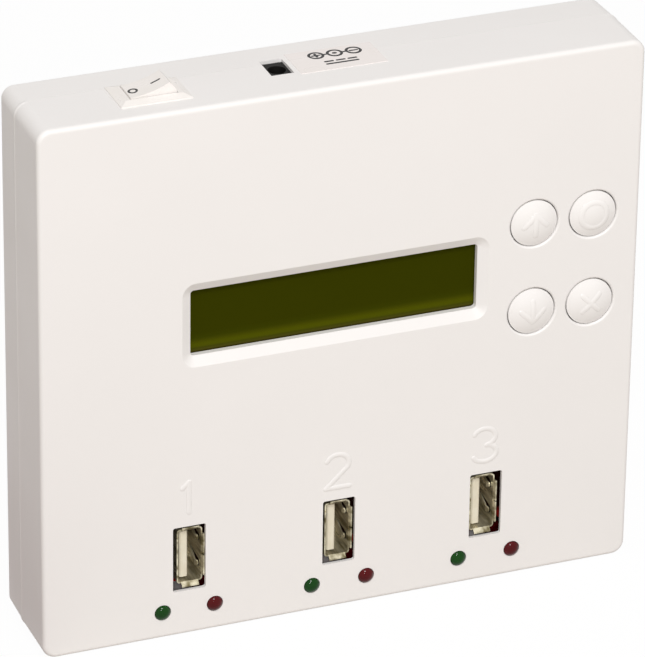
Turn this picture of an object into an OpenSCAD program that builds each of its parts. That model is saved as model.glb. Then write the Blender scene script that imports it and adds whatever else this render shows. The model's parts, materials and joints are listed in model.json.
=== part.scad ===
// Stand-alone duplicator for USB flash drives: a white two-part plastic case with a character display,
// four push buttons, three upright USB-A sockets, six lamps, a rocker switch and a power jack.
// Millimetres. +Z is up, the front looks towards -Y, and the case stands on its bottom edge at Z = 0.

/* [Case] */
// width of the front shell, seen from the front
body_w = 134.4; // [130:0.1:160]
// height of the front shell
body_h = 123.7; // [121:0.1:150]
// depth from the front face to the back face
body_d = 24.6; // [24:0.1:34]
// depth from the front face to the parting line
front_d = 15.2; // [15:0.1:15.8]
// radius of the four corners, seen from the front
corner_r = 3; // [2.5:0.1:8]
// radius of the rounded edge around the front face
front_r = 1; // [0.5:0.1:2.4]
// radius of the rounded edge around the back face
back_r = 1; // [0.3:0.1:1.8]
// thickness of the side walls
side_wall = 1.6; // [1.4:0.1:2]
// thickness of the front wall
front_wall = 2.5; // [2.4:0.1:2.8]
// thickness of the back wall
back_wall = 2; // [1.5:0.1:2.5]
// height of the rounded bead on the sides of the front shell at the parting line
rim_h = 0.1; // [0.05:0.05:0.4]
// width of that bead
rim_w = 1; // [0.6:0.1:1.4]
// amount the rear cover narrows on each side towards the back
rear_draft = 0.25; // [0:0.05:0.6]

/* [Display] */
// display centre, below the top of the case
lcd_down = 49.8; // [46:0.1:56]
// gap from the display board's edge to the middle of the nearest buttons
lcd_gap = 4.6; // [4:0.1:8]
// width of the window
lcd_win_w = 64.4; // [60:0.1:66]
// height of the window
lcd_win_h = 15.2; // [12:0.1:16]
// corner radius of the window
lcd_win_r = 0.8; // [0.3:0.1:2]
// width of the slope around the window
bevel_run = 2.2; // [1:0.1:4]
// depth of the slope
bevel_d = 1.3; // [1:0.1:2.3]
// distance from the display board's holes to its edges
lcd_edge = 2.5; // [2.4:0.1:4]
// width of the metal frame around the glass
lcd_frame_w = 71.3; // [70:0.1:72]
// height of that frame
lcd_frame_h = 26.4; // [22:0.1:27]
// depth of that frame
lcd_frame_d = 7; // [6:0.1:8]
// thickness of the display glass
lcd_glass_t = 2.4; // [1.5:0.1:3]

/* [Buttons] */
// middle of the four buttons, in from the right side of the case
btn_in = 17.45; // [16:0.05:20]
// middle of the four buttons, above the display's centre
btn_up = 0.4; // [-4:0.1:4]
// spacing of the buttons across
btn_px = 13.5; // [13:0.1:15]
// spacing of the buttons up and down
btn_pz = 20.9; // [14:0.1:26]
// diameter of a button cap
btn_d = 10.5; // [8:0.1:10.7]
// gap around a cap in its hole
btn_gap = 0.25; // [0.15:0.05:0.4]
// height of a cap's crown above the front face
btn_proud = 1; // [0.7:0.1:2]
// depth of a cap's edge below the front face
btn_sunk = 0.3; // [0:0.1:0.6]
// radius of the rounded lip of a button hole
btn_lip = 0.5; // [0.2:0.1:1]
// distance a button travels
btn_travel = 0.5; // [0.2:0.1:0.8]

/* [USB sockets] */
// middle socket, to the right of the case's middle
port_x = -0.4; // [-6:0.1:6]
// centre of the sockets, above the bottom
port_z = 18.6; // [18:0.1:24]
// spacing of the sockets
port_pitch = 34; // [20:0.1:40]
// width of the hole for a socket
port_w = 7.4; // [7:0.1:8]
// height of the hole for a socket
port_h = 15.6; // [14.8:0.1:16]
// depth of the flared mouth behind the front face
usb_mouth = 0.45; // [0.2:0.05:1]
// sideways offset of the first socket in its hole
usb_1_dx = 0.45; // [-0.45:0.05:0.45]
// sideways offset of the second socket in its hole
usb_2_dx = 0.05; // [-0.45:0.05:0.45]
// sideways offset of the third socket in its hole
usb_3_dx = -0.35; // [-0.45:0.05:0.45]
// depth of the tongue's tip behind the front face
tongue_tip = 2.1; // [1.5:0.1:2.2]

/* [Lamps] */
// centre of the lamps, above the bottom
lamp_z = 6.3; // [6:0.1:8]
// green lamps, to the left of their socket
green_dx = 6; // [4.5:0.1:9]
// red lamps, to the right of their socket
red_dx = 6.5; // [4.5:0.1:9]
// amount by which the first red lamp sits nearer its socket
red_1_in = 0.7; // [0:0.1:1]
// diameter of a lamp
lamp_d = 3.5; // [2.5:0.1:4]
// height of a lamp's dome above the front face
lamp_proud = 0.95; // [0.2:0.05:1]

/* [Rocker switch] */
// switch centre, in from the left side of the case
sw_in = 27.5; // [20:0.1:34]
// switch centre, behind the front face
sw_y = 10.1; // [9:0.1:10.1]
// length of the bezel
bezel_w = 15.5; // [15:0.1:18]
// width of the bezel
bezel_d = 10.4; // [10:0.1:10.6]
// height of the bezel
bezel_h = 0.9; // [0.4:0.1:1.5]
// angle of the rocker each side of its middle position
rock_tilt = 15; // [8:0.5:16]
// depth of the dish in the rocker's top
rock_dish = 0.7; // [0.2:0.05:1]

/* [Power jack] */
// jack centre, to the right of the case's middle
jack_x = -10.6; // [-20:0.1:-10]
// width of the jack body
jack_w = 4.8; // [4.6:0.1:6]
// height of the jack body above the main board
jack_t = 6.9; // [6:0.1:7.4]
// length of the jack body
jack_l = 11.5; // [9:0.1:14]
// depth of the jack's face below the top of the case
jack_sunk = 0.6; // [0.3:0.1:1.2]
// diameter of the jack's bore
jack_bore = 3.9; // [3.6:0.1:4.2]

/* [Rating label] */
// gap from the jack's opening to the label
label_gap = 1.1; // [0.5:0.1:4]
// length of the label
label_w = 19.2; // [10:0.1:26]
// width of the label on the front shell
label_front = 7; // [3:0.1:9]
// width of the label on the rear cover
label_rear = 3.2; // [1:0.1:6]

/* [Boards and fasteners] */
// depth of the main board's face behind the front face
board_depth = 16.5; // [16.3:0.1:17]
// thickness of both circuit boards
board_t = 1.6; // [1.2:0.1:1.8]
// case screws, in from the sides of the case
post_in = 7; // [6:0.1:9]
// diameter of the case screws' shanks
screw_d = 2.8; // [2.5:0.1:3]
// height of the rubber feet
foot_h = 1; // [0.5:0.1:3]
// diameter of the rubber feet
foot_d = 9; // [6:0.5:12]

/* [Clearances] */
// gap between the two shells at the parting line
part_gap = 0.15; // [0.1:0.05:0.3]
// gap around the rear cover's lip inside the front shell
lip_gap = 0.1; // [0.05:0.05:0.2]
// gap around parts that sit in a hole or next to a wall
seat_gap = 0.1; // [0.05:0.05:0.15]
// close gap of the rocker's trunnions and around pins and bases pressed in
pivot_gap = 0.05; // [0.02:0.01:0.1]

/* [Hidden] */
$fn = 64;
// depths along Y, measured so that crowns and feet reach equally far from the middle
y_front = -body_d / 2 + (btn_proud - foot_h) / 2;
y_back = y_front + body_d;
y_in = y_front + front_wall;
y_part = y_front + front_d;
y_cover = y_part + part_gap;
y_rear_in = y_back - back_wall;
y_board = y_front + board_depth;
y_solder = y_board + board_t;
// heights along Z: the case stands on its flat bottom wall, and the bead is left off there and on the top
z_bot = 0;
z_top = z_bot + body_h;
z_mid = z_bot + body_h / 2;
// rear cover and lip
cover_in = 0.05;
lip_d = 1.5;
lip_t = side_wall / 2;
// display stack, front to back
z_lcd = z_top - lcd_down;
lcd_frame_t = 0.4;
y_glass = y_in + lcd_frame_t;
y_light = y_glass + lcd_glass_t;
y_lcd_board = y_in + lcd_frame_d;
y_lcd_back = y_lcd_board + board_t;
lcd_screw_d = 2.4;
lcd_head_d = 4.4;
lcd_head_h = 1.4;
lcd_nut_d = 5.5;
lcd_nut_h = 1.8;
lcd_spacer_d = 4.8;
lcd_ear = 1.85;
lcd_hole_x = lcd_frame_w / 2 + lcd_ear;
lcd_hole_z = lcd_frame_h / 2 + lcd_head_d / 2 + seat_gap;
lcd_board_w = 2 * (lcd_hole_x + lcd_edge);
lcd_board_h = 2 * (lcd_hole_z + lcd_edge);
pin_w = 0.64;
pin_count = 16;
pin_pitch = 2.54;
pin_start = 8;
header_h = 2.5;
// buttons and tactile switches
btn_x = body_w / 2 - btn_in;
btn_z = z_lcd + btn_up;
lcd_x = btn_x - btn_px / 2 - lcd_gap - lcd_board_w / 2;
btn_hole_d = btn_d + 2 * btn_gap;
y_crown = y_front - btn_proud;
y_flange = y_in + 2 * seat_gap;
flange_w = 0.5;
flange_t = 1;
hub_d = 5;
hub_h = 1.6;
y_hub = y_flange + flange_t + hub_h;
key_h = 3.5;
key_w = 6;
key_floor = 0.7;
plunger_d = 3.5;
y_key = y_board - key_h;
// socket holes and the thinner wall around them
port_r = 0.5;
port_wall = 0.8;
port_relief = 1.5;
// USB socket shell
usb_w = 5.12;
usb_h = 12.5;
usb_t = 0.3;
usb_lip = 0.75;
usb_root = usb_mouth + usb_lip;
usb_slack = 0.55;
usb_flare = (port_w - usb_w) / 2 - usb_t - usb_slack;
usb_flare_z = (port_h - usb_h) / 2 - usb_t - usb_slack;
usb_dx = [usb_1_dx, usb_2_dx, usb_3_dx];
usb_lip_long = 9.6;
usb_lip_tab = 4.9;
usb_lip_end = 3.8;
usb_split = 0.15;
usb_base = 10.8;
usb_lift = 0.4;
spring_tip = 2.4;
spring_root = 8.8;
spring_tip_w = 1.5;
spring_root_w = 3.2;
spring_z = 3.1;
spring_slit = 0.25;
spring_in = 0.75;
spring_end = 0.4;
tongue_t = 1.84;
tongue_h = 11.1;
tongue_x = -1.05;
tongue_edge = 0.25;
contact_t = 0.25;
contact_w = 1;
contact_z = [-3.5, -1, 1, 3.5];
contact_back = 1;
// lamps
lamp_base = 9;
lamp_flange = lamp_d + 0.9;
lamp_flange_t = 1;
lead_d = 0.5;
lead_pitch = 1.27;
spacer_bore = 2.2;
// rocker switch
sw_x = sw_in - body_w / 2;
y_sw = y_front + sw_y;
bezel_rim = 0.25;
bezel_slope = 1.6;
sw_body_w = 13.4;
sw_body_d = 8.8;
sw_depth = 12;
well_d = 6.8;
rock_r = 5.3;
rock_gap = 0.15;
rock_hw = 3.2;
rock_pivot = -0.7;
rock_valley = 2.6;
dish_r = (rock_r * rock_r + rock_dish * rock_dish) / (2 * rock_dish);
rock_under = 2.2;
well_floor = 4.5;
trunnion_d = 2;
trunnion_l = 0.5;
blade_w = 3;
blade_t = 0.8;
blade_l = 6;
blade_x = 3;
wire_d = 1.4;
wire_drop = 2.5;
// power jack and label
z_jack = z_top - jack_sunk;
y_bore = y_board - jack_t / 2;
jack_floor = 2;
jack_rear = 0.5;
jack_pin_d = 1.3;
jack_pin_in = 2.5;
tab_x = 1.4;
tab_w = 1;
tab_h = 1.8;
tab_t = 2.4;
label_x = jack_x + jack_w / 2 + seat_gap + label_gap;
label_t = 0.1;
// case screws, feet and board screws
post_x = body_w / 2 - post_in;
post_z = body_h / 2 - post_in;
post_d = 7;
y_boss = y_part - 1;
pilot_end = 1.5;
shank_end = 4;
head_d = 5.2;
head_h = 1.9;
seat_depth = 3.2;
y_seat = y_back - seat_depth;
foot_in_x = 21;
foot_in_z = 14;
foot_sunk = 0.4;
foot_x = body_w / 2 - foot_in_x;
foot_z = body_h / 2 - foot_in_z;
stud_in = 10.5;
stud_up = 32;
stud_down = 21;
stud_x = body_w / 2 - stud_in;
stud_low = z_bot + stud_up;
stud_high = z_top - stud_down;
stud_d = 2.4;
stud_l = 7;
stud_boss_d = 6;
stud_head_d = 4.6;
stud_head_h = 1.5;
board_in = 2.4;
board_edge = 3.4;
// larger components on the main board
chip_up = 22.5;
z_chip = z_bot + port_z + chip_up;
controller_x = -24;
controller_w = 14;
controller_t = 1.4;
memory_x = 9;
memory_w = 22;
memory_h = 10;
memory_t = 1.1;
crystal_x = -9.5;
crystal_w = 4.6;
crystal_h = 11.3;
crystal_t = 3.5;
crystal_r = 2.2;
cap_x = 14;
cap_pitch = 11;
cap_down = 15;
cap_d = 6.3;
cap_l = 7.7;
// colours
white = [0.94, 0.93, 0.91];
cream = [0.93, 0.90, 0.82];
black = [0.05, 0.05, 0.05];
steel = [0.75, 0.74, 0.72];
red_mask = [0.35, 0.03, 0.03];
green_mask = [0.05, 0.25, 0.10];
gold = [0.83, 0.68, 0.32];

// draws a shape given in X and Z as a plate from y0 to y1
module plate(y0, y1) {
    translate([0, y1, 0]) rotate([90, 0, 0]) linear_extrude(y1 - y0) children();
}

// draws a shape given in Y and Z as a bar from x0 to x1
module bar(x0, x1) {
    translate([x0, 0, 0]) rotate([90, 0, 90]) linear_extrude(x1 - x0) children();
}

// round rod along Y
module rod(x, z, d, y0, y1) {
    translate([x, y1, z]) rotate([90, 0, 0]) cylinder(d = d, h = y1 - y0);
}

// box between two corners
module box(a, b) {
    translate(a) cube(b - a);
}

// rectangle with round corners, about the origin
module rrect(w, h, r) {
    square([w - 2 * r, h], center = true);
    square([w, h - 2 * r], center = true);
    for (sx = [-1, 1])
        for (sy = [-1, 1])
            translate([sx * (w / 2 - r), sy * (h / 2 - r)]) circle(r);
}

// solid with the edge profile given as a child, running round a w by h rectangle towards -Y
module ring_solid(w, h, r, d) {
    ax = w / 2 - r;
    az = h / 2 - r;
    box([-ax, -d, -az], [ax, 0, az]);
    for (k = [0:3]) {
        a = k % 2 == 0 ? ax : az;
        b = k % 2 == 0 ? az : ax;
        rotate([0, -90 * k, 0]) translate([a, 0, b]) {
            rotate([180, 0, 0]) linear_extrude(2 * b) children();
            rotate([90, 0, 0]) rotate_extrude(angle = 90) children();
        }
    }
}

// edge of the front shell: straight side, rounded front edge, bead at the parting line
module front_profile() {
    bead_r = (rim_h * rim_h + rim_w * rim_w / 4) / (2 * rim_h);
    square([corner_r, front_d - front_r]);
    square([corner_r - front_r, front_d]);
    translate([corner_r - front_r, front_d - front_r]) circle(front_r);
    intersection() {
        translate([corner_r + rim_h - bead_r, rim_w / 2]) circle(bead_r);
        square([corner_r + rim_h, rim_w]);
    }
}

// edge of the rear cover: tapered side and rounded back edge
module rear_profile() {
    d = y_back - y_cover;
    a = corner_r - cover_in;
    lean = atan(rear_draft / d);
    vc = d - back_r;
    rc = a - vc * tan(lean) - back_r / cos(lean);
    polygon([[0, 0], [a, 0], [rc + back_r * cos(lean), vc + back_r * sin(lean)], [rc, d], [0, d]]);
    translate([rc, vc]) circle(back_r);
}

// inside of the case, seen from the front
module inner_outline() {
    translate([0, z_mid]) rrect(body_w - 2 * side_wall, body_h - 2 * side_wall, corner_r - side_wall);
}

// middle of the side wall, seen from the front, moved in by g
module lip_outline(g) {
    d = side_wall + 2 * g;
    translate([0, z_mid]) rrect(body_w - d, body_h - d, corner_r - d / 2);
}

// repeats at the four case screws
module at_posts() {
    for (sx = [-1, 1])
        for (sz = [-1, 1])
            translate([sx * post_x, 0, z_mid + sz * post_z]) children();
}

// repeats at the four screws of the main board
module at_studs() {
    for (sx = [-1, 1])
        for (z = [stud_low, stud_high])
            translate([sx * stud_x, 0, z]) children();
}

// repeats at the four holes of the display board
module at_lcd_holes() {
    for (sx = [-1, 1])
        for (sz = [-1, 1])
            translate([lcd_x + sx * lcd_hole_x, 0, z_lcd + sz * lcd_hole_z]) children();
}

// position of button i, counted along the rows from the top left
function btn_at(i) = [btn_x + (i % 2 - 0.5) * btn_px, 0, btn_z + (0.5 - floor(i / 2)) * btn_pz];

// position of the hole for socket i on the front face
function port_at(i) = [port_x + (i - 1) * port_pitch, y_front, z_bot + port_z];

// position of socket i, a little off the middle of its hole
function usb_at(i) = port_at(i) + [usb_dx[i], 0, 0];

// position of the green and the red lamp of socket i
function green_at(i) = [port_at(i)[0] - green_dx, 0, z_bot + lamp_z];
function red_at(i) = [port_at(i)[0] + red_dx - (i == 0 ? red_1_in : 0), 0, z_bot + lamp_z];

// repeats at the six lamps
module at_lamps() {
    for (i = [0:2]) {
        translate(green_at(i)) children();
        translate(red_at(i)) children();
    }
}

// sloped recess and window for the display
module window_cut() {
    hx = lcd_win_w / 2;
    hz = lcd_win_h / 2;
    r = lcd_win_r;
    translate([lcd_x, y_front, z_lcd]) {
        plate(0, front_wall + 1) rrect(lcd_win_w, lcd_win_h, r);
        bar(-hx + r, hx - r)
            polygon([[0, -hz - bevel_run], [0, hz + bevel_run], [bevel_d, hz], [bevel_d, -hz]]);
        translate([0, 0, -hz + r]) linear_extrude(2 * (hz - r))
            polygon([[-hx - bevel_run, 0], [hx + bevel_run, 0], [hx, bevel_d], [-hx, bevel_d]]);
        for (sx = [-1, 1])
            for (sz = [-1, 1])
                translate([sx * (hx - r), bevel_d, sz * (hz - r)]) rotate([90, 0, 0])
                    cylinder(r1 = r, r2 = r + bevel_run, h = bevel_d);
    }
}

// hole for a button with a rounded lip
module button_cut() {
    rod(0, 0, btn_hole_d, y_front - 1, y_in + 1);
    translate([0, y_front, 0]) rotate([-90, 0, 0]) rotate_extrude()
        difference() {
            translate([btn_hole_d / 2 - 0.1, 0]) square([btn_lip + 0.1, btn_lip]);
            translate([btn_hole_d / 2 + btn_lip, btn_lip]) circle(btn_lip);
        }
}

// hole for a socket, in a wall that is thinner around it
module port_cut() {
    plate(-1, front_wall + 1) rrect(port_w, port_h, port_r);
    plate(port_wall, front_wall + 1)
        square([port_w + 2 * port_relief, port_h + 2 * port_relief], center = true);
}

// opening in the top wall for the power jack
module jack_cut() {
    box([jack_x - jack_w / 2 - seat_gap, y_board - jack_t - seat_gap, z_top - 2 * side_wall],
        [jack_x + jack_w / 2 + seat_gap, y_board + jack_rear, z_top + 1]);
}

// opening in the top wall for the rocker switch, as far back as y1
module switch_cut(y1) {
    box([sw_x - sw_body_w / 2 - seat_gap, y_sw - sw_body_d / 2 - seat_gap, z_top - 2 * side_wall],
        [sw_x + sw_body_w / 2 + seat_gap, y1, z_top + 1]);
}

module front_shell() color(white) difference() {
    union() {
        difference() {
            translate([0, y_part, z_mid]) ring_solid(body_w, body_h, corner_r, front_d) front_profile();
            plate(y_in, y_part + 1) inner_outline();
            plate(y_part - lip_d - lip_gap, y_part + 1) lip_outline(0);
        }
        at_posts() rod(0, 0, post_d, y_in - front_wall / 4, y_boss);
        at_studs() rod(0, 0, stud_boss_d, y_in - front_wall / 4, y_board);
    }
    window_cut();
    for (i = [0:3]) translate(btn_at(i)) button_cut();
    for (i = [0:2]) translate(port_at(i)) port_cut();
    at_lamps() rod(0, 0, lamp_d + 2 * seat_gap, y_front - 1, y_in + 1);
    at_posts() rod(0, 0, screw_d + seat_gap, y_in + pilot_end, y_boss + 1);
    at_studs() rod(0, 0, stud_d + seat_gap, y_board - stud_l - 1, y_board + 1);
    switch_cut(y_part + 1);
    jack_cut();
    box([-body_w, y_in, z_bot - 1], [body_w, y_part + 1, z_bot]);
    box([-body_w, y_in, z_top], [body_w, y_part + 1, z_top + 1]);
}

module rear_cover() color(white) difference() {
    union() {
        difference() {
            translate([0, y_cover, z_mid]) mirror([0, 1, 0])
                ring_solid(body_w, body_h, corner_r, y_back - y_cover) rear_profile();
            plate(y_cover - 1, y_rear_in) inner_outline();
        }
        difference() {
            plate(y_part - lip_d, y_cover + 1) lip_outline(lip_gap);
            plate(y_part - lip_d - 1, y_cover + 2) inner_outline();
            translate([sw_x, 0, 0])
                box([-bezel_w / 2, y_part - lip_d - 1, z_mid], [bezel_w / 2, y_cover, z_top]);
        }
        at_posts() rod(0, 0, post_d, y_boss + lip_gap, y_rear_in + back_wall / 4);
    }
    at_posts() rod(0, 0, screw_d + 4 * seat_gap, y_boss - 1, y_back + 1);
    at_posts() rod(0, 0, head_d + 6 * seat_gap, y_seat, y_back + 1);
    for (sx = [-1, 1])
        for (sz = [-1, 1])
            rod(sx * foot_x, z_mid + sz * foot_z, foot_d + 2 * seat_gap, y_back - foot_sunk, y_back + 1);
    switch_cut(y_sw + sw_body_d / 2 + seat_gap);
    jack_cut();
}

module case_screws() color(steel) at_posts() {
    rod(0, 0, screw_d, y_in + shank_end, y_seat + head_h / 2);
    rod(0, 0, head_d, y_seat, y_seat + head_h);
}

module rubber_feet() color(black)
    for (sx = [-1, 1])
        for (sz = [-1, 1])
            rod(sx * foot_x, z_mid + sz * foot_z, foot_d, y_back - foot_sunk, y_back + foot_h);

// thin label that follows the top over the parting line
module rating_label() color([0.92, 0.90, 0.89, 0.6]) {
    y1 = y_cover + label_rear;
    lean = rear_draft / (y_back - y_cover);
    under = [[y_part - label_front, 0], [y_part, 0], [y_cover + label_t, -cover_in],
        [y1, -cover_in - label_rear * lean]];
    over = [for (i = [len(under) - 1:-1:0]) under[i] + [0, label_t]];
    translate([0, 0, z_top]) bar(label_x, label_x + label_w) polygon(concat(under, over));
}

module main_board() color(red_mask) plate(y_board, y_solder) difference() {
    hw = body_w / 2 - side_wall - board_in;
    translate([-hw, z_bot + board_edge]) square([2 * hw, body_h - 2 * board_edge]);
    for (sx = [-1, 1])
        for (sz = [-1, 1])
            translate([sx * body_w / 2, z_mid + sz * body_h / 2])
                square(2 * (post_in + post_d / 2) + 12 * seat_gap, center = true);
    for (sx = [-1, 1])
        for (z = [stud_low, stud_high])
            translate([sx * stud_x, z]) circle(d = stud_d + 4 * seat_gap);
    for (sx = [-1, 1])
        for (sz = [-1, 1])
            translate([lcd_x + sx * lcd_hole_x, z_lcd + sz * lcd_hole_z])
                circle(d = lcd_screw_d + 2 * seat_gap);
}

module board_screws() color(steel) at_studs() {
    rod(0, 0, stud_d, y_board - stud_l, y_solder + stud_head_h / 2);
    rod(0, 0, stud_head_d, y_solder, y_solder + stud_head_h);
}

module lcd_frame() color(black) difference() {
    translate([lcd_x, 0, z_lcd]) plate(y_in, y_lcd_board) square([lcd_frame_w, lcd_frame_h], center = true);
    translate([lcd_x, 0, z_lcd]) plate(y_glass, y_lcd_board + 1)
        square([lcd_frame_w - 2 * lcd_frame_t, lcd_frame_h - 2 * lcd_frame_t], center = true);
    translate([lcd_x, 0, z_lcd]) plate(y_in - 1, y_glass + 1)
        square([lcd_win_w + 6 * seat_gap, lcd_win_h + 6 * seat_gap], center = true);
}

// outline of the glass and of the light guide inside the frame
module glass_outline() {
    play = 2 * lcd_frame_t + 2 * seat_gap;
    square([lcd_frame_w - play, lcd_frame_h - play], center = true);
}

module lcd_glass() color([0.20, 0.20, 0.02])
    translate([lcd_x, 0, z_lcd]) plate(y_glass, y_light) glass_outline();

module lcd_light_guide() color(cream)
    translate([lcd_x, 0, z_lcd]) plate(y_light, y_lcd_board) glass_outline();

module lcd_board() color(green_mask) difference() {
    translate([lcd_x, 0, z_lcd]) plate(y_lcd_board, y_lcd_back)
        square([lcd_board_w, lcd_board_h], center = true);
    at_lcd_holes() rod(0, 0, lcd_screw_d + 2 * seat_gap, y_lcd_board - 1, y_lcd_back + 1);
}

module lcd_spacers() color(cream) at_lcd_holes() difference() {
    rod(0, 0, lcd_spacer_d, y_lcd_back, y_board);
    rod(0, 0, lcd_screw_d + 2 * seat_gap, y_lcd_back - 1, y_board + 1);
}

module lcd_screws() color(steel) at_lcd_holes() {
    rod(0, 0, lcd_screw_d, y_lcd_board - lcd_head_h / 2, y_solder + lcd_nut_h + seat_gap);
    rod(0, 0, lcd_head_d, y_lcd_board - lcd_head_h, y_lcd_board);
}

module lcd_nuts() color(steel) at_lcd_holes() difference() {
    translate([0, y_solder + lcd_nut_h, 0]) rotate([90, 0, 0])
        cylinder(d = lcd_nut_d, h = lcd_nut_h, $fn = 6);
    rod(0, 0, lcd_screw_d + seat_gap, y_solder - 1, y_solder + lcd_nut_h + 1);
}

// position of pin k of the display header
function pin_at(k) = [lcd_x - lcd_board_w / 2 + pin_start + k * pin_pitch, 0, z_lcd + lcd_hole_z];

module lcd_header() color(black) difference() {
    box(pin_at(0) + [-pin_pitch / 2, y_board - header_h, -header_h / 2],
        pin_at(pin_count - 1) + [pin_pitch / 2, y_board, header_h / 2]);
    for (k = [0:pin_count - 1])
        translate(pin_at(k)) plate(y_board - header_h - 1, y_board + 1)
            square(pin_w + pivot_gap, center = true);
}

module lcd_pins() color(gold)
    for (k = [0:pin_count - 1])
        translate(pin_at(k)) plate(y_lcd_back, y_board) square(pin_w, center = true);

// cap with a domed crown, a flange behind the wall and a hub on the switch plunger
module button_cap(i) {
    h = btn_proud + btn_sunk;
    r = (btn_d * btn_d / 4 + h * h) / (2 * h);
    translate(btn_at(i)) {
        intersection() {
            rod(0, 0, btn_d, y_crown - 1, y_flange + flange_t);
            translate([0, y_crown + r, 0]) sphere(r, $fn = 128);
        }
        rod(0, 0, btn_hole_d + 2 * flange_w, y_flange, y_flange + flange_t);
        rod(0, 0, hub_d, y_flange, y_hub);
    }
}

// body of the tactile switch under button i, bored for its plunger
module key_body(i) {
    translate(btn_at(i)) difference() {
        plate(y_key, y_board) square(key_w, center = true);
        rod(0, 0, plunger_d + 2 * seat_gap, y_key - 1, y_board - key_floor);
    }
}

// plunger of the tactile switch under button i
module key_plunger(i) {
    translate(btn_at(i)) rod(0, 0, plunger_d, y_hub, y_board - key_floor - btn_travel - 4 * seat_gap);
}

module button_up() color(white) button_cap(0);

module button_ok() color(white) button_cap(1);

module button_down() color(white) button_cap(2);

module button_cancel() color(white) button_cap(3);

module key_body_up() color(black) key_body(0);

module key_body_ok() color(black) key_body(1);

module key_body_down() color(black) key_body(2);

module key_body_cancel() color(black) key_body(3);

module key_plunger_up() color(cream) key_plunger(0);

module key_plunger_ok() color(cream) key_plunger(1);

module key_plunger_down() color(cream) key_plunger(2);

module key_plunger_cancel() color(cream) key_plunger(3);

// lip of a socket shell bent outward by f, drawn beyond the wall at distance a
module flare(a, f) {
    polygon([[a, usb_root + usb_t], [a + usb_t, usb_root + usb_t], [a + usb_t, usb_root],
        [a + usb_t + f, usb_mouth], [a + f, usb_mouth], [a, usb_root]]);
}

// outline of a spring tongue in the shell wall, widened by g
module spring_plan(g) {
    front = spring_tip_w / 2 + g;
    back = spring_root_w / 2 + g;
    y_tip = spring_tip + spring_tip_w / 2;
    polygon([[y_tip, -front], [spring_root, -back], [spring_root, back], [y_tip, front]]);
    translate([y_tip, 0]) circle(front);
}

// side view of a spring tongue, bent in from the wall at distance a
module spring_bend(a) {
    y_bend = spring_tip + spring_tip_w / 2;
    y_wall = spring_root + usb_t;
    inner = [[a, y_wall], [a, spring_root - usb_t], [a - spring_in, y_bend], [a - spring_end, spring_tip]];
    outer = [for (i = [len(inner) - 1:-1:0]) inner[i] + [usb_t, 0]];
    polygon(concat(inner, outer));
}

// socket shell: tube with flared lips and two spring tongues in one wide wall
module usb_shell(i) {
    a = usb_w / 2;
    translate(usb_at(i)) {
        difference() {
            plate(usb_root, board_depth - usb_lift) difference() {
                rrect(usb_w + 2 * usb_t, usb_h + 2 * usb_t, 0.7);
                rrect(usb_w, usb_h, 0.4);
            }
            for (s = [-1, 1])
                translate([0, 0, spring_z * s]) bar(a - usb_t, a + 2 * usb_t) spring_plan(spring_slit);
        }
        for (s = [0, 1])
            mirror([0, 0, s]) translate([0, 0, usb_split]) linear_extrude(usb_lip_tab) flare(a, usb_flare);
        mirror([1, 0, 0]) translate([0, 0, -usb_lip_long / 2])
            linear_extrude(usb_lip_long) flare(a, usb_flare);
        for (s = [0, 1])
            mirror([0, 0, s]) translate([usb_lip_end / 2, 0, 0]) rotate([0, -90, 0])
                linear_extrude(usb_lip_end) flare(usb_h / 2, usb_flare_z);
        for (s = [-1, 1])
            translate([0, 0, spring_z * s]) intersection() {
                translate([0, 0, -spring_root_w]) linear_extrude(2 * spring_root_w) spring_bend(a);
                bar(0, a + 2 * usb_t) {
                    spring_plan(0);
                    translate([spring_root - usb_t, -spring_root_w / 2]) square([2 * usb_t, spring_root_w]);
                }
            }
    }
}

// insulator of a socket: base on the board and the tongue that carries the contacts
module usb_tongue(i) {
    translate(usb_at(i)) {
        plate(usb_base, board_depth) rrect(usb_w - pivot_gap, usb_h - pivot_gap, 0.4);
        translate([tongue_x, 0, -tongue_h / 2]) linear_extrude(tongue_h)
            polygon([[-tongue_t / 2, usb_base + usb_t], [-tongue_t / 2, tongue_tip + tongue_edge],
                [tongue_edge - tongue_t / 2, tongue_tip], [tongue_t / 2 - tongue_edge, tongue_tip],
                [tongue_t / 2, tongue_tip + tongue_edge], [tongue_t / 2, usb_base + usb_t]]);
    }
}

// four contact strips on the tongue
module usb_contacts(i) {
    translate(usb_at(i))
        for (z = contact_z)
            box([tongue_x + tongue_t / 2, tongue_tip + contact_back, z - contact_w / 2],
                [tongue_x + tongue_t / 2 + contact_t, usb_base, z + contact_w / 2]);
}

module usb_shell_1() color(steel) usb_shell(0);

module usb_shell_2() color(steel) usb_shell(1);

module usb_shell_3() color(steel) usb_shell(2);

module usb_tongue_1() color(cream) usb_tongue(0);

module usb_tongue_2() color(cream) usb_tongue(1);

module usb_tongue_3() color(cream) usb_tongue(2);

module usb_contacts_1() color(gold) usb_contacts(0);

module usb_contacts_2() color(gold) usb_contacts(1);

module usb_contacts_3() color(gold) usb_contacts(2);

// lamp with a low dome in front and a flange behind the wall
module lamp() {
    r = (lamp_d * lamp_d / 4 + lamp_proud * lamp_proud) / (2 * lamp_proud);
    intersection() {
        rod(0, 0, lamp_d, y_front - lamp_proud - 1, y_front + lamp_base);
        translate([0, y_front - lamp_proud + r, 0]) union() {
            sphere(r, $fn = 96);
            rod(0, 0, 2 * r, 0, lamp_base);
        }
    }
    rod(0, 0, lamp_flange, y_front + lamp_base - lamp_flange_t, y_front + lamp_base);
}

module lamp_green_1() color([0.10, 0.35, 0.08]) translate(green_at(0)) lamp();

module lamp_green_2() color([0.10, 0.35, 0.08]) translate(green_at(1)) lamp();

module lamp_green_3() color([0.10, 0.35, 0.08]) translate(green_at(2)) lamp();

module lamp_red_1() color([0.35, 0.05, 0.06]) translate(red_at(0)) lamp();

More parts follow.
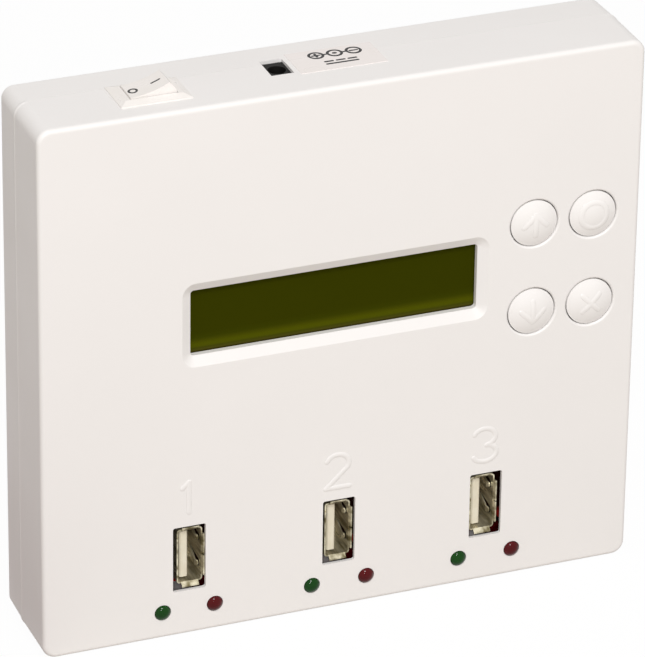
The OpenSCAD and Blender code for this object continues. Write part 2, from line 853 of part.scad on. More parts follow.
module lamp_red_2() color([0.35, 0.05, 0.06]) translate(red_at(1)) lamp();

module lamp_red_3() color([0.35, 0.05, 0.06]) translate(red_at(2)) lamp();

module lamp_spacers() color(black) at_lamps() difference() {
    rod(0, 0, lamp_flange, y_front + lamp_base, y_board);
    rod(0, 0, spacer_bore, y_front + lamp_base - 1, y_board + 1);
}

module lamp_leads() color(steel) at_lamps()
    for (s = [-1, 1]) rod(s * lead_pitch / 2, 0, lead_d, y_front + lamp_base, y_board);

// side view of the bezel, h wide, sloping from a low upright rim to its top
module bezel_side(h) {
    polygon([[-h / 2, 0], [h / 2, 0], [h / 2, bezel_rim], [h / 2 - bezel_slope, bezel_h],
        [bezel_slope - h / 2, bezel_h], [-h / 2, bezel_rim]]);
}

// switch body with its bezel, the well for the rocker and the trunnion holes
module switch_body() color(white) translate([sw_x, y_sw, z_top]) difference() {
    union() {
        intersection() {
            plate(-bezel_d / 2, bezel_d / 2) bezel_side(bezel_w);
            bar(-bezel_w / 2, bezel_w / 2) bezel_side(bezel_d);
        }
        box([-sw_body_w / 2, -sw_body_d / 2, -sw_depth], [sw_body_w / 2, sw_body_d / 2, bezel_h / 2]);
    }
    intersection() {
        box([-bezel_w / 2, -well_d / 2, rock_pivot - well_floor], [bezel_w / 2, well_d / 2, bezel_h + 1]);
        rod(0, rock_pivot, 2 * (rock_r + rock_gap), -bezel_d / 2, bezel_d / 2);
    }
    reach = well_d / 2 + trunnion_l + seat_gap;
    rod(0, rock_pivot, trunnion_d + 2 * pivot_gap, -reach, reach);
}

// rocker with a dished top, shown switched off: the left side is down
module rocker() color(white) translate([sw_x, y_sw, z_top + rock_pivot]) rotate([0, -rock_tilt, 0]) {
    difference() {
        intersection() {
            box([-rock_r, -rock_hw, -rock_under], [rock_r, rock_hw, rock_valley + rock_dish]);
            rod(0, 0, 2 * rock_r, -rock_hw - 1, rock_hw + 1);
        }
        rod(0, rock_valley + dish_r, 2 * dish_r, -rock_hw - 1, rock_hw + 1);
    }
    rod(0, 0, trunnion_d, -well_d / 2 - trunnion_l, well_d / 2 + trunnion_l);
}

module switch_terminals() color(steel) translate([sw_x, y_sw, z_top - sw_depth])
    for (s = [-1, 1])
        translate([blade_x * s, 0, 0])
            box([-blade_t / 2, -blade_w / 2, -blade_l], [blade_t / 2, blade_w / 2, 0]);

module switch_wires() color([0.75, 0.08, 0.06]) translate([sw_x, y_sw, z_top - sw_depth - blade_l])
    for (s = [-1, 1])
        translate([blade_x * s, 0, -wire_drop]) {
            cylinder(d = wire_d, h = wire_drop);
            sphere(d = wire_d);
            rod(0, 0, wire_d, 0, y_board - y_sw);
        }

module jack_body() color(black) difference() {
    box([jack_x - jack_w / 2, y_board - jack_t, z_jack - jack_l], [jack_x + jack_w / 2, y_board, z_jack]);
    translate([jack_x, y_bore, z_jack - jack_l + jack_floor]) cylinder(d = jack_bore, h = jack_l);
}

module jack_pin() color(steel) translate([jack_x, y_bore, z_jack - jack_l + jack_floor]) {
    h = jack_l - jack_floor - jack_pin_in;
    cylinder(d = jack_pin_d, h = h);
    translate([0, 0, h]) sphere(d = jack_pin_d);
}

module jack_tabs() color(steel)
    for (s = [-1, 1])
        translate([jack_x + tab_x * s, y_board, z_jack - jack_l])
            box([-tab_w / 2, -tab_t, -tab_h], [tab_w / 2, 0, 0]);

module controller_chip() color(black) translate([controller_x, 0, z_chip])
    plate(y_board - controller_t, y_board) square(controller_w, center = true);

module memory_chip() color(black) translate([memory_x, 0, z_chip])
    plate(y_board - memory_t, y_board) square([memory_w, memory_h], center = true);

module clock_crystal() color(steel) translate([crystal_x, 0, z_chip])
    plate(y_board - crystal_t, y_board) rrect(crystal_w, crystal_h, crystal_r);

module capacitors() color([0.20, 0.22, 0.30])
    for (k = [0, 1])
        rod(cap_x + k * cap_pitch, z_top - cap_down, cap_d, y_board - cap_l, y_board);

front_shell();
rear_cover();
case_screws();
rubber_feet();
rating_label();
main_board();
board_screws();
lcd_frame();
lcd_glass();
lcd_light_guide();
lcd_board();
lcd_spacers();
lcd_screws();
lcd_nuts();
lcd_header();
lcd_pins();
button_up();
button_ok();
button_down();
button_cancel();
key_body_up();
key_body_ok();
key_body_down();
key_body_cancel();
key_plunger_up();
key_plunger_ok();
key_plunger_down();
key_plunger_cancel();
usb_shell_1();
usb_shell_2();
usb_shell_3();
usb_tongue_1();
usb_tongue_2();
usb_tongue_3();
usb_contacts_1();
usb_contacts_2();
usb_contacts_3();
lamp_green_1();
lamp_green_2();
lamp_green_3();
lamp_red_1();
lamp_red_2();
lamp_red_3();
lamp_spacers();
lamp_leads();
switch_body();
rocker();
switch_terminals();
switch_wires();
jack_body();
jack_pin();
jack_tabs();
controller_chip();
memory_chip();
clock_crystal();
capacitors();
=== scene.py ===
"""Looks for the flash drive duplicator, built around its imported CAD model.

Metres, in the CAD model's frame: +Z up, the front looks towards -Y, the case stands at Z = 0.
"""
import json
import math

import bmesh
import bpy
import numpy as np
from mathutils import Matrix, Vector


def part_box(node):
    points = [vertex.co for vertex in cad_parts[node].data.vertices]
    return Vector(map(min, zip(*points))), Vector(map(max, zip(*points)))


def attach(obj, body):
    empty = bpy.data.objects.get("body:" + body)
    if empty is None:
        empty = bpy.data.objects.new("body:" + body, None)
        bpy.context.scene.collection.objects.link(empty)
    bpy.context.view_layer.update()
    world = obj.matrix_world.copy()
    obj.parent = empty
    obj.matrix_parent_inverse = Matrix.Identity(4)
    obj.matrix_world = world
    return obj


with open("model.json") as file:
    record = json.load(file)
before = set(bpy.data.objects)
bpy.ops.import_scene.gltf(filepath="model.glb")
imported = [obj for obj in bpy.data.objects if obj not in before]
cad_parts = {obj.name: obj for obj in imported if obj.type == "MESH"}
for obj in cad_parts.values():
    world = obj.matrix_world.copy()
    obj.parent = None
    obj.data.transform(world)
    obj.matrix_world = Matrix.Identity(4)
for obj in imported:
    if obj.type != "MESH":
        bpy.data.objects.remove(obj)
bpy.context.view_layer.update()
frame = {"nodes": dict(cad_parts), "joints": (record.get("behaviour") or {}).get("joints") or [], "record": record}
MM = 0.001


# places read from the frame, in millimetres

def node_box(node):
    """Lowest and highest corner of a CAD node in millimetres."""
    lo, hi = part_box(node)
    return np.array(lo) / MM, np.array(hi) / MM


y_front = node_box("front_shell")[0][1]
frame_lo, frame_hi = node_box("lcd_frame")
label_lo, label_hi = node_box("rating_label")
lcd_z = (frame_lo + frame_hi)[2] / 2
buttons = {key: node_box(f"button_{key}") for key in ("up", "ok", "down", "cancel")}
rocker_joint = next(joint for joint in frame["joints"] if joint["name"] == "rock_power")
rocker_pivot = np.array(rocker_joint["pos_m"]) / MM


# materials

def linear(code):
    """An sRGB hex colour as the linear colour that a shader takes."""
    s = np.array([int(code[i:i + 2], 16) for i in (1, 3, 5)]) / 255
    return (*np.where(s <= 0.04045, s / 12.92, ((s + 0.055) / 1.055) ** 2.4), 1.0)


def add(tree, kind, settings):
    """Adds a shader node. Each setting is a property, a socket's value, or an output that is linked to
    the socket."""
    node = tree.nodes.new("ShaderNode" + kind)
    for key, value in settings.items():
        if isinstance(key, str) and hasattr(node, key):
            setattr(node, key, value)
        elif isinstance(value, bpy.types.NodeSocket):
            tree.links.new(value, node.inputs[key])
        else:
            node.inputs[key].default_value = value
    return node


def new_material(name):
    """An empty material: its tree, and the Object coordinates in metres."""
    material = bpy.data.materials.new(name)
    material.use_nodes = True
    material.node_tree.nodes.clear()
    place = add(material.node_tree, "TexCoord", {}).outputs["Object"]
    return material, material.node_tree, place


def finish_material(tree, settings):
    """Puts the surface shader, with its settings, on the material's output."""
    surface = add(tree, "BsdfPrincipled", settings)
    add(tree, "OutputMaterial", {"Surface": surface.outputs["BSDF"]})


def grain(tree, place, size_mm, depth_mm, rounding_mm=0.0):
    """Bump from even noise, with grains of size_mm and depth_mm, over a surface whose edges are rounded off
    by rounding_mm."""
    noise = add(tree, "TexNoise", {"Vector": place, "Scale": 1 / (size_mm * MM), "Detail": 2.0})
    relief = {"Height": noise.outputs[0], "Distance": depth_mm * MM, "Strength": 1.0}
    if rounding_mm:
        relief["Normal"] = add(tree, "Bevel", {"Radius": rounding_mm * MM, "samples": 8}).outputs["Normal"]
    return add(tree, "Bump", relief).outputs["Normal"]


# middle range of the noise, over which a finish goes from its first colour to its second
PATCH_SPAN = (0.35, 0.65)


def patchy(name, colours, roughness, patch_mm, grain_mm, depth_mm, more, rounding_mm=0.0, streak=1.0):
    """A finish whose colour and roughness drift between two values over patches of patch_mm, streak times as
    long in the depth of the case, with a bump of grain_mm and depth_mm on a surface rounded by rounding_mm.
    more holds the shader's other settings."""
    material, tree, place = new_material(name)
    drawn = add(tree, "Mapping", {"Vector": place, "Scale": (1, 1 / streak, 1)}).outputs[0]
    patches = add(tree, "TexNoise", {"Vector": drawn, "Scale": 1 / (patch_mm * MM), "Detail": 3.0}).outputs[0]
    tint = add(tree, "ValToRGB", {"Fac": patches})
    for stop, at, colour in zip(tint.color_ramp.elements, PATCH_SPAN, colours):
        stop.position, stop.color = at, linear(colour)
    rough = add(tree, "MapRange", {"Value": patches, "From Min": PATCH_SPAN[0], "From Max": PATCH_SPAN[1],
                                   "To Min": roughness[0], "To Max": roughness[1]})
    finish_material(tree, {"Base Color": tint.outputs["Color"], "Roughness": rough.outputs[0],
                           "Normal": grain(tree, place, grain_mm, depth_mm, rounding_mm), **more})
    return material


METAL = {"Metallic": 1.0}
# ABS from a spark-eroded mould: warm white with a satin sheen, drawn coarser than its real 0.05 mm grain
case_abs = patchy("abs_moulded_satin", ("#f1efee", "#f0eeed"), (0.4, 0.46), 25, 0.5, 0.002, {"IOR": 1.53})
# ABS from a polished mould: the same white, glossy enough to show soft reflections
button_abs = patchy("abs_moulded_polished", ("#f3f1f0", "#f2f0ef"), (0.14, 0.2), 6, 3.0, 0.002, {"IOR": 1.53})
# unfilled nylon: white and a little glossy, slightly uneven from the mould
switch_nylon = patchy("nylon_moulded", ("#f1edea", "#efebe7"), (0.26, 0.34), 5, 2.0, 0.002, {"IOR": 1.52})
# dyed clear epoxy, cast in a cup: glossy, and dark while the lamp is off
EPOXY = {"IOR": 1.54, "Specular IOR Level": 0.15}
LAMP_ROUNDING = 0.5
lamp_green = patchy("epoxy_cast_green", ("#0d4207", "#0a3a06"), (0.04, 0.06), 3, 1.5, 0.001, EPOXY,
                    rounding_mm=LAMP_ROUNDING)
lamp_red = patchy("epoxy_cast_red", ("#540408", "#4a0306"), (0.04, 0.06), 3, 1.5, 0.001, EPOXY,
                  rounding_mm=LAMP_ROUNDING)
# clear acrylic with a white back: bright and smooth
light_guide = patchy("acrylic_white_backed", ("#e6e5d8", "#e2e0d2"), (0.16, 0.22), 10, 2.0, 0.001,
                     {"IOR": 1.49})
# sheet steel under black paint: dull black
frame_black = patchy("steel_painted_black", ("#161412", "#1c1a18"), (0.45, 0.55), 4, 0.4, 0.003, {})
# sheet steel, tin-plated and bent: soft, slightly yellow metal, with bright and dull streaks from rolling
socket_steel = patchy("steel_tin_plated", ("#e2dabf", "#6c6344"), (0.26, 0.44), 1.6, 0.6, 0.002,
                      {"Metallic": 0.65}, streak=6.0)
# glass-filled polyester: cream and slightly rough from the fibres
socket_insulator = patchy("polyester_moulded_cream", ("#ece6d3", "#e4dcc6"), (0.4, 0.5), 3, 0.5, 0.003,
                          {"IOR": 1.57})
# gold plating on bronze springs
contact_gold = patchy("bronze_gold_plated", ("#cfa653", "#c49a48"), (0.22, 0.3), 1, 0.4, 0.001, METAL)
# black moulded plastic: dull, with a faint sheen
jack_black = patchy("polyester_moulded_black", ("#090807", "#0e0c0b"), (0.55, 0.65), 2, 0.5, 0.003,
                    {"IOR": 1.57, "Specular IOR Level": 0.2})
# zinc-plated steel: bright, slightly mottled
bright_steel = patchy("steel_zinc_plated", ("#bfbfba", "#b1b1ab"), (0.26, 0.36), 1.5, 0.5, 0.002, METAL)
# glass-epoxy board under green solder mask: glossy, a little uneven over the weave
board_green = patchy("solder_mask_green", ("#14421f", "#103a1a"), (0.26, 0.34), 8, 0.6, 0.004, {"IOR": 1.55})
# moulded epoxy of chips: black and matt
chip_epoxy = patchy("epoxy_moulded_black", ("#1b1b1c", "#222223"), (0.55, 0.65), 3, 0.3, 0.004, {"IOR": 1.55})
# drawn aluminium can: bright and slightly mottled
capacitor_can = patchy("aluminium_drawn", ("#a9abb2", "#9ea0a8"), (0.26, 0.34), 2, 0.5, 0.002, METAL)
# moulded rubber: black, dull and soft to the eye
foot_rubber = patchy("rubber_moulded", ("#1c1b1a", "#242322"), (0.7, 0.8), 4, 0.3, 0.006, {"IOR": 1.52})
# vinyl insulation, extruded: red with a soft gloss
wire_vinyl = patchy("vinyl_extruded_red", ("#b31a14", "#a81712"), (0.32, 0.4), 3, 1.0, 0.002, {"IOR": 1.54})
# thin polyester film: nearly clear over the white case, a little pink and glossy
label_film = patchy("polyester_film", ("#f2ecea", "#f0eae7"), (0.22, 0.28), 8, 4.0, 0.002, {"IOR": 1.6})
# printing ink: black, dull and slightly uneven
printing_ink = patchy("ink_printed_black", ("#0c0b0b", "#171514"), (0.5, 0.6), 0.8, 0.4, 0.001, {})
# printing ink on the rocker: black with a soft gloss
rocker_ink = patchy("ink_pad_printed_black", ("#0c0b0b", "#171514"), (0.45, 0.55), 0.8, 0.4, 0.001, {})


# size and depth of the faint unevenness of a film or mask, in millimetres
FILM_GRAIN = (0.4, 0.001)


def banded(name, low, stops, more):
    """A finish whose colour runs with height: stops are heights in millimetres above low, and the colours
    there."""
    material, tree, place = new_material(name)
    height = add(tree, "SeparateXYZ", {"Vector": place}).outputs["Z"]
    reach = stops[-1][0]
    share = add(tree, "MapRange", {"Value": height, "From Min": low * MM, "From Max": (low + reach) * MM})
    ramp = add(tree, "ValToRGB", {"Fac": share.outputs[0]})
    marks = ramp.color_ramp.elements
    for (at, colour), mark in zip(stops, [marks[0], marks[1]] + [marks.new(1) for _ in stops[2:]]):
        mark.position = at / reach
        mark.color = linear(colour)
    finish_material(tree, {"Base Color": ramp.outputs["Color"],
                           "Normal": grain(tree, place, *FILM_GRAIN), **more})
    return material


# polariser film on an unlit display: dark olive, with a painted band of light near the bottom, where light
# gets into the edge of the backlight, and brown along the seal of the glass, which lies DISPLAY_SEAL under
# the middle
DISPLAY_SEAL = 7.8
DISPLAY_PAINTED_LIGHT_STOPS = [(0.0, "#332e09"), (0.45, "#4a4718"), (0.95, "#41430a"), (1.35, "#4b4f06"),
                 (1.9, "#4b4f04"), (2.4, "#454804"), (2.85, "#3e4104"), (3.3, "#373b02"), (4.5, "#343701")]
display_glass = banded("display_polariser_film", lcd_z - DISPLAY_SEAL, DISPLAY_PAINTED_LIGHT_STOPS,
                       {"Roughness": 0.3, "IOR": 1.5, "Specular IOR Level": 0.01})
# glass-epoxy board under red solder mask, with painted light along its lower edge and painted shade over
# the rest of the board
BOARD_LIT_AND_SHADED_STOPS = [(0.0, "#f2352b"), (6.0, "#e62c24"), (7.5, "#2c0f08"), (120.0, "#2c0f08")]
board_red = banded("solder_mask_red", 0.0, BOARD_LIT_AND_SHADED_STOPS, {"Roughness": 0.3, "IOR": 1.55})

finishes = {
    "case_abs": case_abs, "button_abs": button_abs, "switch_nylon": switch_nylon,
    "lamp_green": lamp_green, "lamp_red": lamp_red, "display_glass": display_glass,
    "light_guide": light_guide, "frame_black": frame_black, "socket_steel": socket_steel,
    "socket_insulator": socket_insulator, "contact_gold": contact_gold, "jack_black": jack_black,
    "bright_steel": bright_steel, "board_red": board_red, "board_green": board_green,
    "chip_epoxy": chip_epoxy, "capacitor_can": capacitor_can, "foot_rubber": foot_rubber,
    "label_film": label_film, "wire_vinyl": wire_vinyl,
}
for subpart in frame["record"]["subparts"]:
    mesh = frame["nodes"][subpart["node"]].data
    mesh.materials.clear()
    mesh.materials.append(finishes[subpart["material_slot"]])


# strokes: raised or printed lines on a surface, in millimetres

# rows in a round end, share of the path over which its direction is taken, and the distance in metres at
# which two points are one
CAP_ROWS, NEARBY, SAME_PLACE = 9, 1e-3, 1e-8


def line(*points):
    """A path through the given points."""
    return np.array(points, float)


def arc(centre, radii, start, end, count=49):
    """A stretch of an ellipse: centre plus radii times the cosine and sine of an angle from start to end, in
    degrees."""
    t = np.radians(np.linspace(start, end, count))
    return np.array(centre) + np.array(radii) * np.column_stack([np.cos(t), np.sin(t)])


def stroke(path, width, height, sunk, closed=False, around=16, along=64):
    """A bead along a flat path, as a grid of points (a, b, height over the surface), rows along the path.
    Each row is the path's point plus half the width times cos(t) across the path and the height times the
    square of sin(t) up, or the sunk depth times sin(t) down. An open path gets round ends: the row shrinks
    along a circle."""
    half = width / 2
    steps = np.linalg.norm(np.diff(path, axis=0), axis=1)
    length = np.concatenate([[0], np.cumsum(steps)])
    total = length[-1]
    if closed:
        s = np.linspace(0, total, along, endpoint=False)
        shrink = np.ones(along)
    else:
        cap = half * (1 - np.cos(np.linspace(0, math.pi / 2, CAP_ROWS)))
        s = np.concatenate([cap - half, np.linspace(0, total, along)[1:-1], total + half - cap[::-1]])
        past = np.maximum(np.maximum(-s, s - total), 0)
        shrink = np.sqrt(np.maximum(1 - (past / half) ** 2, 0))
    inside = np.clip(s, 0, total)
    reach = NEARBY * total
    ends = np.clip(np.stack([inside - reach, inside + reach]), 0, total)
    at = np.column_stack([np.interp(inside, length, path[:, k]) for k in (0, 1)])
    before, after = (np.column_stack([np.interp(e, length, path[:, k]) for k in (0, 1)]) for e in ends)
    tangent = (after - before) / np.linalg.norm(after - before, axis=1)[:, None]
    at = at + tangent * (s - inside)[:, None]
    across = np.column_stack([-tangent[:, 1], tangent[:, 0]])
    t = np.linspace(0, 2 * math.pi, around, endpoint=False)
    side = half * shrink[:, None] * np.cos(t)
    up = shrink[:, None] * np.where(np.sin(t) > 0, height * np.sin(t) ** 2, sunk * np.sin(t))
    flat = at[:, None, :] + across[:, None, :] * side[:, :, None]
    return np.dstack([flat, up])


def ring_faces(rows, around, closed, first):
    """Quads between neighbouring rings, with each ring closed on itself, and the last ring joined to the
    first if closed."""
    i = np.arange(rows if closed else rows - 1)[:, None]
    j = np.arange(around)[None, :]
    k, m = (i + 1) % rows, (j + 1) % around
    quads = np.stack([i * around + j, i * around + m, k * around + m, k * around + j], axis=-1)
    return first + quads.reshape(-1, 4)


def add_piece(name, grids, place, body, material):
    """One object from several strokes: place turns (a, b, height) in millimetres into X, Y and Z. The end
    rings of an open stroke have shrunk to a point, so they are merged into one vertex, which closes the
    stroke."""
    points, faces, first = [], [], 0
    for grid, closed in grids:
        rows, around = grid.shape[:2]
        points.append(place(grid).reshape(-1, 3) * MM)
        faces.append(ring_faces(rows, around, closed, first))
        first += rows * around
    mesh = bpy.data.meshes.new(name)
    mesh.from_pydata(np.concatenate(points).tolist(), [], np.concatenate(faces).tolist())
    merge_doubles(mesh)
    mesh.polygons.foreach_set("use_smooth", np.ones(len(mesh.polygons), bool))
    mesh.materials.append(material)
    piece = bpy.data.objects.new(name, mesh)
    bpy.context.scene.collection.objects.link(piece)
    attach(piece, body)


def merge_doubles(mesh):
    """Joins the vertices that share a place, so that poles are closed."""
    work = bmesh.new()
    work.from_mesh(mesh)
    bmesh.ops.remove_doubles(work, verts=work.verts, dist=SAME_PLACE)
    work.to_mesh(mesh)
    work.free()


# raised digits above the sockets

DIGIT_WIDTH, DIGIT_HEIGHT, SUNK = 1.2, 0.16, 0.05
DIGIT_LOW = 29.35


def on_front(grid):
    """Front face: a is X, b is Z, and the height comes out towards -Y."""
    return np.dstack([grid[..., 0], y_front - grid[..., 2], grid[..., 1]])


# paths of X and Z
digits = {
    "digit_1": [line((-35.95, 35.7), (-34.5, 37.0)), line((-34.5, 37.0), (-34.5, 29.8))],
    "digit_2": [np.concatenate([arc((-0.85, 35.15), (2.6, 2.15), 158, -45), line((-3.5, DIGIT_LOW))]),
                line((-3.5, DIGIT_LOW), (1.9, DIGIT_LOW))],
    "digit_3": [arc((33.0, 35.25), (2.55, 2.05), 155, -78), arc((33.1, 31.35), (2.75, 2.05), 78, -155)],
}
for name, paths in digits.items():
    beads = [(stroke(path, DIGIT_WIDTH, DIGIT_HEIGHT, SUNK), False) for path in paths]
    add_piece(name, beads, on_front, "case", case_abs)


# raised signs on the buttons

SIGN_WIDTH, SIGN_HEIGHT = 1.2, 0.11
BUTTON_D, CROWN_H = 10.5, 1.3
CROWN_R = (BUTTON_D ** 2 / 4 + CROWN_H ** 2) / (2 * CROWN_H)
# paths from the middle of the button, to the right and up
signs = {
    "up": [line((-2.6, -0.4), (0, 2.2)), line((0, 2.2), (2.6, -0.4)), line((0, 2.2), (0, -2.6))],
    "down": [line((-2.6, 0.4), (0, -2.2)), line((0, -2.2), (2.6, 0.4)), line((0, -2.2), (0, 2.6))],
    "cancel": [line((-1.9, -1.9), (1.9, 1.9)), line((-1.9, 1.9), (1.9, -1.9))],
    "ok": [arc((0, 0), (3.0, 3.0), 0, 360)],
}


def on_crown(key):
    """Ball-shaped crown of a button: the height stands on the ball, whose foremost point is the button's."""
    lo, hi = buttons[key]
    x0, z0 = (lo + hi)[[0, 2]] / 2

    def place(grid):
        a, b, up = np.moveaxis(grid, 2, 0)
        crown = lo[1] + CROWN_R - np.sqrt(CROWN_R ** 2 - a ** 2 - b ** 2)
        return np.dstack([x0 + a, crown - up, z0 + b])
    return place


for key, paths in signs.items():
    closed = key == "ok"
    beads = [(stroke(path, SIGN_WIDTH, SIGN_HEIGHT, SUNK, closed), closed) for path in paths]
    add_piece(f"sign_{key}", beads, on_crown(key), f"{key}_button", button_abs)


# printed marks on the rocker

ROCKER_TILT, ROCKER_DISH, ROCKER_VALLEY, ROCKER_R = math.radians(15), 0.7, 2.6, 5.3
DISH_R = (ROCKER_R ** 2 + ROCKER_DISH ** 2) / (2 * ROCKER_DISH)
MARK_WIDTH, INK_T = 0.5, 0.04


def on_rocker(grid):
    """The rocker's dished top at rest: a runs along the tilted rocker, b is depth, and the level is the
    valley's plus the dish's radius less the root of that radius squared minus a squared."""
    along = np.array([math.cos(ROCKER_TILT), 0, math.sin(ROCKER_TILT)])
    out = np.array([-math.sin(ROCKER_TILT), 0, math.cos(ROCKER_TILT)])
    a, b, up = (grid[..., k, None] for k in range(3))
    level = ROCKER_VALLEY + DISH_R - np.sqrt(DISH_R ** 2 - a ** 2)
    return rocker_pivot + a * along + b * np.array([0, 1, 0]) + (level + up) * out


off_ring = stroke(arc((-2.97, -0.35), (0.84, 0.84), 0, 360), MARK_WIDTH, INK_T, SUNK, True)
add_piece("mark_off", [(off_ring, True)], on_rocker, "power_rocker", rocker_ink)
on_bar = stroke(line((1.3, 0.05), (3.1, 0.05)), MARK_WIDTH, INK_T, SUNK)
add_piece("mark_on", [(on_bar, False)], on_rocker, "power_rocker", rocker_ink)


# printed symbols on the label: polarity of the plug, and the sign for direct current

SYMBOL_WIDTH, RING_R, ARM = 0.62, 1.5, 0.75
RING_X = (-0.96, 3.2, 7.4)
RING_Y = 3.35
PIN_WIDTH, PIN_HALF = 1.0, 0.05
DASH_X, DASH_HALF, DASH_Y = (-2.6, 0, 2.6), 0.8, -0.2
BAR_HALF, BAR_Y = 3.4, -1.4
LABEL_FRONT, STEP_Y, STEP_Z, REAR_Z = 7.0, 0.25, -0.05, -0.135
PARTING_Y = label_lo[1] + LABEL_FRONT
LABEL_Y = np.array([label_lo[1], PARTING_Y, PARTING_Y + STEP_Y, label_hi[1]])
LABEL_Z = label_hi[2] + np.array([0, 0, STEP_Z, REAR_Z])


def on_label(grid):
    """Top of the label: level on the front shell, a small step down at the parting line, and a slope behind
    it."""
    level = np.interp(grid[..., 1], LABEL_Y, LABEL_Z)
    return np.dstack([grid[..., 0], grid[..., 1], level + grid[..., 2]])


def print_on_label(name, paths, width):
    """Ink strokes on the label; a path that ends where it starts is closed."""
    beads = []
    for path in paths:
        closed = bool(np.allclose(path[0], path[-1]))
        beads.append((stroke(path, width, INK_T, SUNK, closed), closed))
    add_piece(name, beads, on_label, "case", printing_ink)


polarity = [arc((x, RING_Y), (RING_R, RING_R), 0, 360) for x in RING_X]
polarity += [line((x0 + RING_R, RING_Y), (x1 - RING_R, RING_Y)) for x0, x1 in zip(RING_X, RING_X[1:])]
polarity += [line((RING_X[0] - ARM, RING_Y), (RING_X[0] + ARM, RING_Y)),
             line((RING_X[0], RING_Y - ARM), (RING_X[0], RING_Y + ARM)),
             line((RING_X[2] - ARM, RING_Y), (RING_X[2] + ARM, RING_Y))]
print_on_label("symbol_polarity", polarity, SYMBOL_WIDTH)
pin = line((RING_X[1] - PIN_HALF, RING_Y), (RING_X[1] + PIN_HALF, RING_Y))
print_on_label("symbol_centre_pin", [pin], PIN_WIDTH)
current = [line((RING_X[1] - BAR_HALF, BAR_Y), (RING_X[1] + BAR_HALF, BAR_Y))]
current += [line((RING_X[1] + x - DASH_HALF, DASH_Y), (RING_X[1] + x + DASH_HALF, DASH_Y)) for x in DASH_X]
print_on_label("symbol_direct_current", current, SYMBOL_WIDTH)


# floor, light and camera

def seen(tree):
    """1 for what the camera sees itself, or in metal or glass, and 0 for light on its way between
    surfaces."""
    ray = add(tree, "LightPath", {}).outputs
    either = {"operation": "MAXIMUM"}
    mirrored = add(tree, "Math", {**either, 0: ray["Is Glossy Ray"], 1: ray["Is Transmission Ray"]})
    return add(tree, "Math", {**either, 0: ray["Is Camera Ray"], 1: mirrored.outputs[0]}).outputs[0]


def stage_floor():
    """A large pale floor at the height the case stands on. Seen directly or mirrored it is white with the
    case's shadow. Other rays meet it as a plain pale surface, with a dark oval of painted shade beside the
    case on the left, which darkens that side towards its foot."""
    material, tree, place = new_material("paper_backdrop_white")
    white_paper = add(tree, "BsdfDiffuse", {"Color": linear("#fbfbfb")})
    glow = add(tree, "Emission", {"Color": linear("#ffffff"), "Strength": 1.0})
    backdrop = add(tree, "MixShader", {"Fac": FLOOR_WHITE, 1: white_paper.outputs[0], 2: glow.outputs[0]})
    # painted shade: a dark oval on the floor left of the case, met only by light bouncing onto the case
    scale = (1 / (SHADE_OVAL_REACH[0] * MM), 1 / (SHADE_OVAL_REACH[1] * MM), 0)
    shift = (-SHADE_OVAL_MIDDLE[0] / SHADE_OVAL_REACH[0], -SHADE_OVAL_MIDDLE[1] / SHADE_OVAL_REACH[1], 0)
    oval = add(tree, "Mapping", {"Vector": place, "Scale": scale, "Location": shift}).outputs[0]
    share = add(tree, "TexGradient", {"gradient_type": "SPHERICAL", "Vector": oval}).outputs[1]
    painted_shade = add(tree, "ValToRGB", {"Fac": share})
    painted_shade_stops = ((0.0, FLOOR_COLOUR), (SHADE_OVAL_EDGE, PAINTED_SHADE_COLOUR))
    for stop, (at, colour) in zip(painted_shade.color_ramp.elements, painted_shade_stops):
        stop.position, stop.color = at, linear(colour)
    paper = add(tree, "BsdfDiffuse", {"Color": painted_shade.outputs["Color"]})
    mix = add(tree, "MixShader", {"Fac": seen(tree), 1: paper.outputs[0], 2: backdrop.outputs[0]})
    add(tree, "OutputMaterial", {"Surface": mix.outputs[0]})
    half = FLOOR_SIZE / 2
    corners = [(-half, -half, 0), (half, -half, 0), (half, half, 0), (-half, half, 0)]
    mesh = bpy.data.meshes.new("floor")
    mesh.from_pydata(corners, [], [(0, 1, 2, 3)])
    mesh.materials.append(material)
    floor = bpy.data.objects.new("floor", mesh)
    bpy.context.scene.collection.objects.link(floor)


def studio_world():
    """Even white light all round, seen as white."""
    world = bpy.data.worlds.new("studio")
    world.use_nodes = True
    tree = world.node_tree
    tree.nodes.clear()
    around = add(tree, "Background", {"Color": linear(ROOM_COLOUR), "Strength": ROOM_LIGHT})
    white = add(tree, "Background", {"Color": linear("#ffffff"), "Strength": 1.0})
    mix = add(tree, "MixShader", {"Fac": seen(tree), 1: around.outputs[0], 2: white.outputs[0]})
    add(tree, "OutputWorld", {"Surface": mix.outputs[0]})
    bpy.context.scene.world = world


def soft_box(name, place, size, power):
    """A square area lamp that looks at the middle of the case."""
    lamp = bpy.data.lights.new(name, "AREA")
    lamp.shape, lamp.size, lamp.energy = "SQUARE", size, power
    box = bpy.data.objects.new(name, lamp)
    aim = Vector(CASE_MIDDLE) - Vector(place)
    box.matrix_world = Matrix.Translation(place) @ aim.to_track_quat("-Z", "Y").to_matrix().to_4x4()
    bpy.context.scene.collection.objects.link(box)


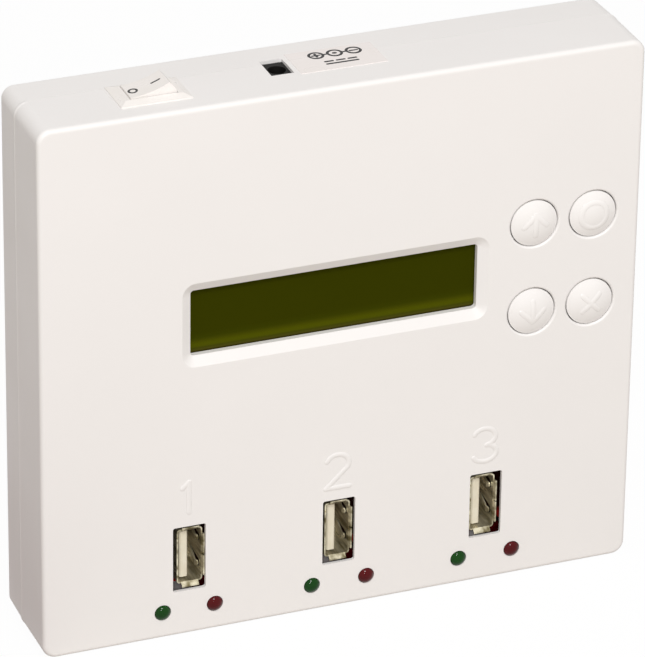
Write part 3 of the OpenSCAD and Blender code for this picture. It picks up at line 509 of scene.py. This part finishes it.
def photo_camera():
    """Camera at the photograph's angle: turned to the left of the front, above it, and rolled a little."""
    a, e, r = (math.radians(v) for v in (CAMERA_TURN, CAMERA_RISE, CAMERA_ROLL))
    right = Vector((math.cos(a), math.sin(a), 0))
    back = Vector((math.sin(a) * math.cos(e), -math.cos(a) * math.cos(e), math.sin(e)))
    up = back.cross(right)
    right, up = math.cos(r) * right + math.sin(r) * up, math.cos(r) * up - math.sin(r) * right
    lens = bpy.data.cameras.new("camera")
    lens.sensor_width, lens.sensor_fit, lens.lens = SENSOR_WIDTH, "AUTO", CAMERA_LENS
    lens.clip_start, lens.clip_end = CAMERA_CLIP
    camera = bpy.data.objects.new("camera", lens)
    turn = Matrix((right, up, back)).transposed().to_4x4()
    camera.matrix_world = Matrix.Translation(Vector(CAMERA_PLACE) * MM) @ turn
    bpy.context.scene.collection.objects.link(camera)
    bpy.context.scene.camera = camera


# floor in metres, and its oval of painted shade in millimetres
FLOOR_SIZE, FLOOR_WHITE, FLOOR_COLOUR = 6.0, 0.96, "#bdb5ac"
# oval of painted shade on the floor: middle, reach, the gradient's share where it is fully dark, colour
SHADE_OVAL_MIDDLE, SHADE_OVAL_REACH, SHADE_OVAL_EDGE, PAINTED_SHADE_COLOUR = (-118, 14), (56, 110), 0.25, "#6e3a28"
# light: places and sizes in metres, power in watts
ROOM_LIGHT, ROOM_COLOUR = 0.48, "#fffaf5"
CASE_MIDDLE = (0, 0, 0.06)
KEY_PLACE, KEY_SIZE, KEY_POWER = (-0.12, -0.99, 1.17), 0.36, 9.8
FILL_PLACE, FILL_SIZE, FILL_POWER = (-0.391, -0.989, 0.616), 0.06, 3.3
# camera: degrees, and millimetres but for the clip, which is in metres
CAMERA_TURN, CAMERA_RISE, CAMERA_ROLL = -21.593, 27.576, 0.811
CAMERA_PLACE, CAMERA_LENS = (-376.39, -951.18, 595.60), 297.81
SENSOR_WIDTH, CAMERA_CLIP = 36.0, (0.05, 20.0)

stage_floor()
studio_world()
soft_box("key_light", KEY_PLACE, KEY_SIZE, KEY_POWER)
soft_box("fill_light", FILL_PLACE, FILL_SIZE, FILL_POWER)
photo_camera()
bpy.context.scene.view_settings.view_transform = "Standard"
